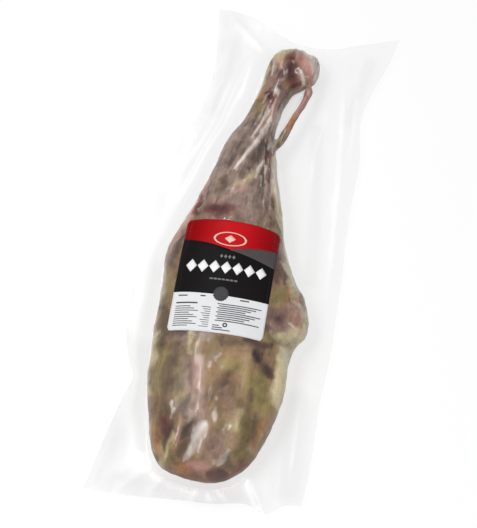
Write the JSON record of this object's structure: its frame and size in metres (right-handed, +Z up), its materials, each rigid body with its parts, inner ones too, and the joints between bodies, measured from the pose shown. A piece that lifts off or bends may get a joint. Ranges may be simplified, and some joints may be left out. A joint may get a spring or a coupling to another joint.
{
  "type": "vacuum packed cured leg of lamb",
  "caption": "Whole bone-in cured leg of lamb drawn tight in a clear vacuum pouch, with a red, black and white paper label on the thigh.",
  "frame": {"origin": "centre of the pouch's outline seen from above, on the floor that the pack lies on", "axes": "+Y along the leg towards the shank and hock, +X to the right of the label as it is read, +Z up out of the label"},
  "size_m": [0.241, 0.6374, 0.077],
  "materials": {
    "pouch": "clear plastic film drawn tight on brown cured meat",
    "label": "coated paper printed in red, black and white"
  },
  "bodies": {
    "root": {"pouch": "pouch", "label": "label"}
  },
  "joints": []
}
